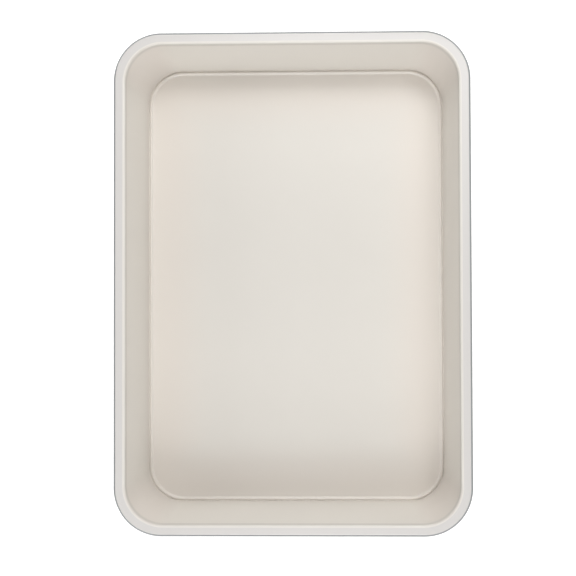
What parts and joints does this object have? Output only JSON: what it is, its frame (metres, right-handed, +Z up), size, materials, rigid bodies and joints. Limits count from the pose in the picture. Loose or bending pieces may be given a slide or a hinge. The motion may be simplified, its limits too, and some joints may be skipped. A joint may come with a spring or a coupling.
{
  "type": "baking pan",
  "caption": "Rectangular baking pan with steep walls, round corners, a pressed ridge round the floor and a flat rolled rim.",
  "frame": {"origin": "middle of the flat underside, in the plane that the pan stands on", "axes": "+X across the pan, +Y along its length, +Z up, out of the mouth"},
  "size_m": [0.2454, 0.3454, 0.051],
  "materials": {
    "ceramic_coat": "satin cream ceramic non-stick coat on pressed steel",
    "steel_wire": "drawn and galvanised steel wire, hidden in the rolled rim"
  },
  "bodies": {
    "root": {"pan_shell": "ceramic_coat", "rim_wire": "steel_wire"}
  },
  "joints": []
}
